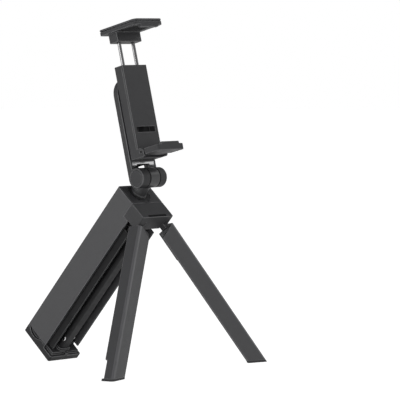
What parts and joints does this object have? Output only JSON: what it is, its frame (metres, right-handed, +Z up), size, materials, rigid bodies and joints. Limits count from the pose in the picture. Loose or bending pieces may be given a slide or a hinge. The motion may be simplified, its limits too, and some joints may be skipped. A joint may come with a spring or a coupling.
{
  "type": "phone tripod",
  "caption": "Folding desk tripod for a phone: a square body with hinged legs, a sliding table-clamp foot, a swivel and tilt head, and a sprung holder that turns.",
  "frame": {"origin": "centre of the bounding box's footprint, on the table", "axes": "+Z up, +X across the body to its right, -Y to the front where the legs and the phone are"},
  "size_m": [0.139, 0.1272, 0.2076],
  "materials": {
    "anodised": "satin black anodised",
    "casing": "satin charcoal moulding",
    "inner": "matt black moulding",
    "steel": "bright turned steel",
    "plated": "polished plate",
    "rubber": "matt soft rubber"
  },
  "bodies": {
    "body": {"body_shell": "anodised", "end_cap": "casing", "head_block": "casing", "guide_rail": "inner", "rail_posts": "casing", "rail_screws": "steel", "spring_post": "steel", "clamp_spring": "steel", "hinge_pin_left": "steel", "hinge_pin_right": "steel"},
    "clamp": {"clamp_bar": "casing", "clamp_foot": "casing", "grip_pad": "rubber", "foot_pin": "steel", "spring_hook": "steel"},
    "leg_left": {"leg_left": "anodised", "leg_knuckle_left": "casing", "toe_left": "rubber"},
    "leg_right": {"leg_right": "anodised", "leg_knuckle_right": "casing", "toe_right": "rubber"},
    "neck": {"neck_post": "casing", "swivel_washer": "steel", "swivel_screw": "steel"},
    "arm": {"arm_plate": "casing", "tilt_bolt": "steel", "tilt_nut": "steel", "bolt_cap": "casing", "brake_plate": "plated", "pivot_washer": "inner"},
    "holder": {"housing_back": "casing", "housing_cover": "casing", "cover_screws": "steel", "pivot_stud": "steel", "jaw_pin": "steel", "jaw_spring_left": "steel", "jaw_spring_right": "steel"},
    "upper_jaw": {"jaw_block": "casing", "jaw_cap": "casing", "upper_pad": "rubber", "rod_left": "plated", "rod_right": "plated", "rod_collars": "steel"},
    "lower_jaw": {"lower_jaw": "casing", "lower_pad": "rubber"}
  },
  "joints": [
    {"name": "leg_left_fold", "type": "hinge", "parent": "body", "child": "leg_left", "pos_m": [-0.0065, -0.03228, 0.08708], "axis": [0.8231, -0.4226, -0.3792], "range_deg": [0, 64.2]},
    {"name": "leg_right_fold", "type": "hinge", "parent": "body", "child": "leg_right", "pos_m": [0.0065, -0.03228, 0.08708], "axis": [0.8231, 0.4226, 0.3792], "range_deg": [0, 64.2]},
    {"name": "clamp_slide", "type": "slide", "parent": "body", "child": "clamp", "axis": [0, 0.6678, -0.7443], "range_m": [0, 0.04], "stiffness_N_per_m": 150, "springref_m": -0.02},
    {"name": "neck_swivel", "type": "hinge", "parent": "body", "child": "neck", "pos_m": [0, -0.02178, 0.10429], "axis": [0, -0.6678, 0.7443], "continuous": true},
    {"name": "head_tilt", "type": "hinge", "parent": "neck", "child": "arm", "pos_m": [0, -0.02973, 0.11314], "axis": [1, 0, 0], "range_deg": [-40, 75]},
    {"name": "holder_turn", "type": "hinge", "parent": "arm", "child": "holder", "pos_m": [0, -0.01797, 0.16215], "axis": [0, -0.9724, 0.2334], "range_deg": [-90, 90]},
    {"name": "upper_jaw_slide", "type": "slide", "parent": "holder", "child": "upper_jaw", "axis": [0, 0.2334, 0.9724], "range_m": [-0.012, 0.012]},
    {"name": "lower_jaw_fold", "type": "hinge", "parent": "holder", "child": "lower_jaw", "pos_m": [0, -0.03335, 0.12872], "axis": [1, 0, 0], "range_deg": [-90, 0]}
  ]
}
